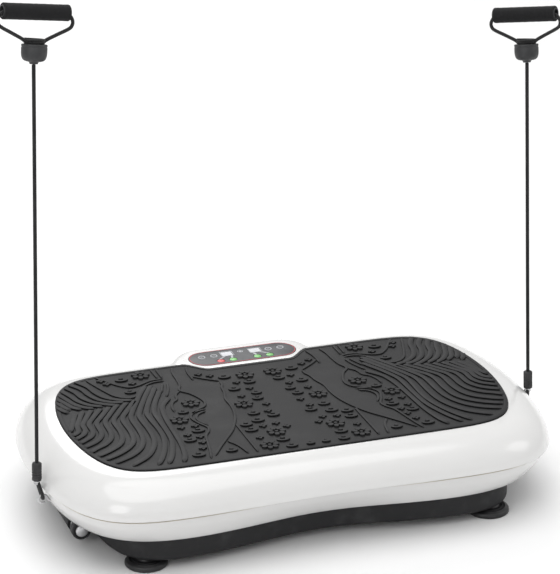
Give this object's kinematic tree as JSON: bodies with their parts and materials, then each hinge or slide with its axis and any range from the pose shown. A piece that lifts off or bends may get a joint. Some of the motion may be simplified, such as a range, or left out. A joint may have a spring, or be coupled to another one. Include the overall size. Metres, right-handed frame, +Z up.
{
  "type": "vibration plate",
  "caption": "Low oscillating exercise platform with a gloss shell, relief rubber tread, rear control panel, suction feet, end wheels and corded resistance handles.",
  "frame": {"origin": "on the floor under the centre of the base", "axes": "+X along the long side to the right end, +Y towards the control panel side, +Z up"},
  "size_m": [0.7292, 0.4024, 0.6927],
  "materials": {
    "white_shell": "moulded gloss white plastic",
    "black_plastic": "fine moulded texture",
    "rubber": "moulded rubber",
    "mat_rubber": "moulded relief rubber",
    "panel_plastic": "satin dark grey overlay",
    "cup_plastic": "satin dark grey",
    "zinc_steel": "zinc plated",
    "painted_steel": "black powder coat",
    "foam": "closed-cell foam",
    "cord": "braided polyester",
    "board": "solder mask",
    "green_key": "printed key",
    "red_key": "printed key",
    "display": "display window"
  },
  "bodies": {
    "base": {"base_tray": "black_plastic", "chassis_plate": "painted_steel", "foot_front_left": "rubber", "foot_front_right": "rubber", "foot_back_left": "rubber", "foot_back_right": "rubber", "pivot_bracket": "painted_steel", "pivot_shaft": "zinc_steel", "shaft_bracket": "painted_steel", "motor_can": "painted_steel", "motor_bracket": "painted_steel", "drive_belt": "rubber", "power_board": "board", "power_inlet": "black_plastic", "switch_body": "black_plastic", "wheel_carrier": "black_plastic", "wheel_axle": "zinc_steel"},
    "deck": {"upper_shell": "white_shell", "lower_shell": "white_shell", "tread_mat": "mat_rubber", "panel_face": "panel_plastic", "display_time": "display", "display_speed": "display", "control_board": "board", "deck_plate": "painted_steel", "pivot_yoke": "painted_steel", "drive_bracket": "painted_steel", "drive_pin": "zinc_steel", "anchor_eye_left": "zinc_steel", "anchor_eye_right": "zinc_steel"},
    "link": {"drive_link": "painted_steel"},
    "crank": {"crankshaft": "zinc_steel", "driven_pulley": "black_plastic"},
    "rotor": {"motor_pulley": "zinc_steel"},
    "rocker": {"rocker_switch": "red_key"},
    "wheel_front": {"wheel_front": "black_plastic"},
    "wheel_back": {"wheel_back": "black_plastic"},
    "key_power": {"key_power": "panel_plastic"},
    "key_mode": {"key_mode": "panel_plastic"},
    "key_start": {"key_start": "panel_plastic"},
    "key_stop": {"key_stop": "panel_plastic"},
    "key_time_down": {"key_time_down": "red_key"},
    "key_time_up": {"key_time_up": "green_key"},
    "key_speed_down": {"key_speed_down": "green_key"},
    "key_speed_up": {"key_speed_up": "green_key"},
    "band_left": {"band_loop_left": "cord", "band_sleeve_left": "rubber", "band_tube_left": "rubber"},
    "handle_left": {"handle_cup_left": "cup_plastic", "handle_strap_left": "cord", "grip_core_left": "cup_plastic"},
    "grip_left": {"foam_grip_left": "foam"},
    "band_right": {"band_loop_right": "cord", "band_sleeve_right": "rubber", "band_tube_right": "rubber"},
    "handle_right": {"handle_cup_right": "cup_plastic", "handle_strap_right": "cord", "grip_core_right": "cup_plastic"},
    "grip_right": {"foam_grip_right": "foam"}
  },
  "joints": [
    {"name": "deck_tilt", "type": "hinge", "parent": "base", "child": "deck", "pos_m": [0, 0, 0.06], "axis": [0, 1, 0], "range_deg": [-1.5, 1.5], "stiffness_Nm_per_rad": 2500},
    {"name": "link_swing", "type": "hinge", "parent": "deck", "child": "link", "pos_m": [0.115, -0.012, 0.094], "axis": [0, 1, 0], "range_deg": [-1.6, 1.6]},
    {"name": "crank_spin", "type": "hinge", "parent": "base", "child": "crank", "pos_m": [0.115, 0, 0.047], "axis": [0, 1, 0], "continuous": true},
    {"name": "motor_spin", "type": "hinge", "parent": "base", "child": "rotor", "pos_m": [-0.115, 0.06, 0.056], "axis": [0, 1, 0], "continuous": true},
    {"name": "rocker_press", "type": "hinge", "parent": "base", "child": "rocker", "pos_m": [0.1595, 0.17, 0.0245], "axis": [0, 0, 1], "range_deg": [0, 18]},
    {"name": "wheel_front_spin", "type": "hinge", "parent": "base", "child": "wheel_front", "pos_m": [-0.2875, -0.0745, 0.0235], "axis": [0, 1, 0], "continuous": true},
    {"name": "wheel_back_spin", "type": "hinge", "parent": "base", "child": "wheel_back", "pos_m": [-0.2875, 0.0745, 0.0235], "axis": [0, 1, 0], "continuous": true},
    {"name": "key_power_press", "type": "slide", "parent": "deck", "child": "key_power", "axis": [0, 0, -1], "range_m": [0, 0.0004], "stiffness_N_per_m": 400, "springref_m": -0.0005},
    {"name": "key_mode_press", "type": "slide", "parent": "deck", "child": "key_mode", "axis": [0, 0, -1], "range_m": [0, 0.0004], "stiffness_N_per_m": 400, "springref_m": -0.0005},
    {"name": "key_start_press", "type": "slide", "parent": "deck", "child": "key_start", "axis": [0, 0, -1], "range_m": [0, 0.0004], "stiffness_N_per_m": 400, "springref_m": -0.0005},
    {"name": "key_stop_press", "type": "slide", "parent": "deck", "child": "key_stop", "axis": [0, 0, -1], "range_m": [0, 0.0004], "stiffness_N_per_m": 400, "springref_m": -0.0005},
    {"name": "key_time_down_press", "type": "slide", "parent": "deck", "child": "key_time_down", "axis": [0, 0, -1], "range_m": [0, 0.0004], "stiffness_N_per_m": 400, "springref_m": -0.0005},
    {"name": "key_time_up_press", "type": "slide", "parent": "deck", "child": "key_time_up", "axis": [0, 0, -1], "range_m": [0, 0.0004], "stiffness_N_per_m": 400, "springref_m": -0.0005},
    {"name": "key_speed_down_press", "type": "slide", "parent": "deck", "child": "key_speed_down", "axis": [0, 0, -1], "range_m": [0, 0.0004], "stiffness_N_per_m": 400, "springref_m": -0.0005},
    {"name": "key_speed_up_press", "type": "slide", "parent": "deck", "child": "key_speed_up", "axis": [0, 0, -1], "range_m": [0, 0.0004], "stiffness_N_per_m": 400, "springref_m": -0.0005},
    {"name": "band_swing_left", "type": "hinge", "parent": "deck", "child": "band_left", "pos_m": [-0.3315, -0.065, 0.0665], "axis": [0, -1, 0], "range_deg": [0, 75]},
    {"name": "band_pull_left", "type": "slide", "parent": "band_left", "child": "handle_left", "axis": [0.0222, 0, 0.9998], "range_m": [0, 0.3], "stiffness_N_per_m": 90, "deforming": ["band_tube_left"]},
    {"name": "grip_spin_left", "type": "hinge", "parent": "handle_left", "child": "grip_left", "pos_m": [-0.31908, -0.05221, 0.67643], "axis": [0.9739, 0.1595, -0.1616], "continuous": true},
    {"name": "band_swing_right", "type": "hinge", "parent": "deck", "child": "band_right", "pos_m": [0.3355, 0, 0.0665], "axis": [0, 1, 0], "range_deg": [0, 75]},
    {"name": "band_pull_right", "type": "slide", "parent": "band_right", "child": "handle_right", "axis": [-0.0414, 0, 0.9991], "range_m": [0, 0.3], "stiffness_N_per_m": 90, "deforming": ["band_tube_right"]},
    {"name": "grip_spin_right", "type": "hinge", "parent": "handle_right", "child": "grip_right", "pos_m": [0.32566, 0.01499, 0.59636], "axis": [0.6596, -0.7325, 0.1685], "continuous": true}
  ],
  "couplings": [
    {"joint": "link_swing", "follows": "deck_tilt", "ratio": -1},
    {"joint": "motor_spin", "follows": "crank_spin", "ratio": 2.2264}
  ]
}
